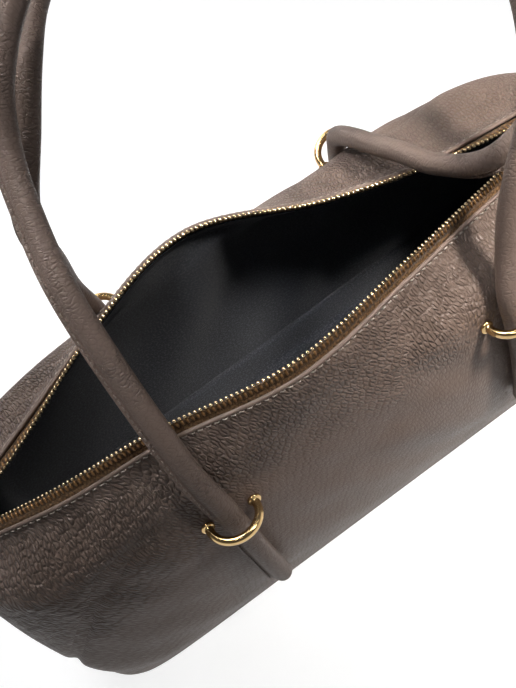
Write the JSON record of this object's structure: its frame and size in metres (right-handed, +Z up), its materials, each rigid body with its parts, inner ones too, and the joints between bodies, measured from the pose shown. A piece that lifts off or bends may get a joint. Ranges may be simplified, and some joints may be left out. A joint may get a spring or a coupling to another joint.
{
  "type": "leather handbag",
  "caption": "Long soft leather bag with an open zip mouth, half rings and two rolled tube handles that swing.",
  "frame": {"origin": "middle of the flat underside, on the ground the bag stands on", "axes": "+Z up, +X along the bag towards the zip's closed end, the front faces -Y"},
  "size_m": [0.4122, 0.2172, 0.3362],
  "materials": {
    "taupe_leather": "pebbled, soft sheen",
    "base_leather": "pebbled, soft sheen",
    "navy_cotton": "matt woven cotton",
    "fibre_board": "plain board",
    "tan_tape": "woven tape",
    "pale_gold": "polished pale gold plate",
    "plate_steel": "plain"
  },
  "bodies": {
    "bag": {"back_lining": "navy_cotton", "back_panel": "taupe_leather", "back_zip_tape": "tan_tape", "back_zip_teeth": "pale_gold", "base_board": "fibre_board", "base_lining": "navy_cotton", "base_panel": "base_leather", "front_lining": "navy_cotton", "front_panel": "taupe_leather", "front_zip_tape": "tan_tape", "front_zip_teeth": "pale_gold", "half_ring_back_left": "pale_gold", "half_ring_back_right": "pale_gold", "half_ring_front_left": "pale_gold", "half_ring_front_right": "pale_gold", "handle_end_back_left": "taupe_leather", "handle_end_back_right": "taupe_leather", "handle_end_front_left": "taupe_leather", "handle_end_front_right": "taupe_leather", "ring_plate_back_left": "plate_steel", "ring_plate_back_right": "plate_steel", "ring_plate_front_left": "plate_steel", "ring_plate_front_right": "plate_steel", "zip_bottom_stop": "pale_gold", "zip_top_stop_back": "pale_gold", "zip_top_stop_front": "pale_gold"},
    "front_handle": {"front_handle": "taupe_leather"},
    "back_handle": {"back_handle": "taupe_leather"},
    "slider": {"slider_body": "pale_gold"},
    "pull": {"slider_pull": "pale_gold"}
  },
  "joints": [
    {"name": "front_handle_swing", "type": "hinge", "parent": "bag", "child": "front_handle", "pos_m": [0.00003, -0.06901, 0.14635], "axis": [1, 0, 0], "range_deg": [0, 105]},
    {"name": "back_handle_swing", "type": "hinge", "parent": "bag", "child": "back_handle", "pos_m": [0.00003, 0.07019, 0.14666], "axis": [-1, 0, 0], "range_deg": [0, 95]},
    {"name": "zip_slide", "type": "slide", "parent": "bag", "child": "slider", "axis": [-1, 0, 0], "range_m": [0, 0.34], "deforming": ["front_zip_teeth", "back_zip_teeth", "front_zip_tape", "back_zip_tape"]},
    {"name": "pull_turn", "type": "hinge", "parent": "slider", "child": "pull", "pos_m": [0.1722, -0.00211, 0.15289], "axis": [0, -1, 0], "range_deg": [-2, 150]}
  ]
}
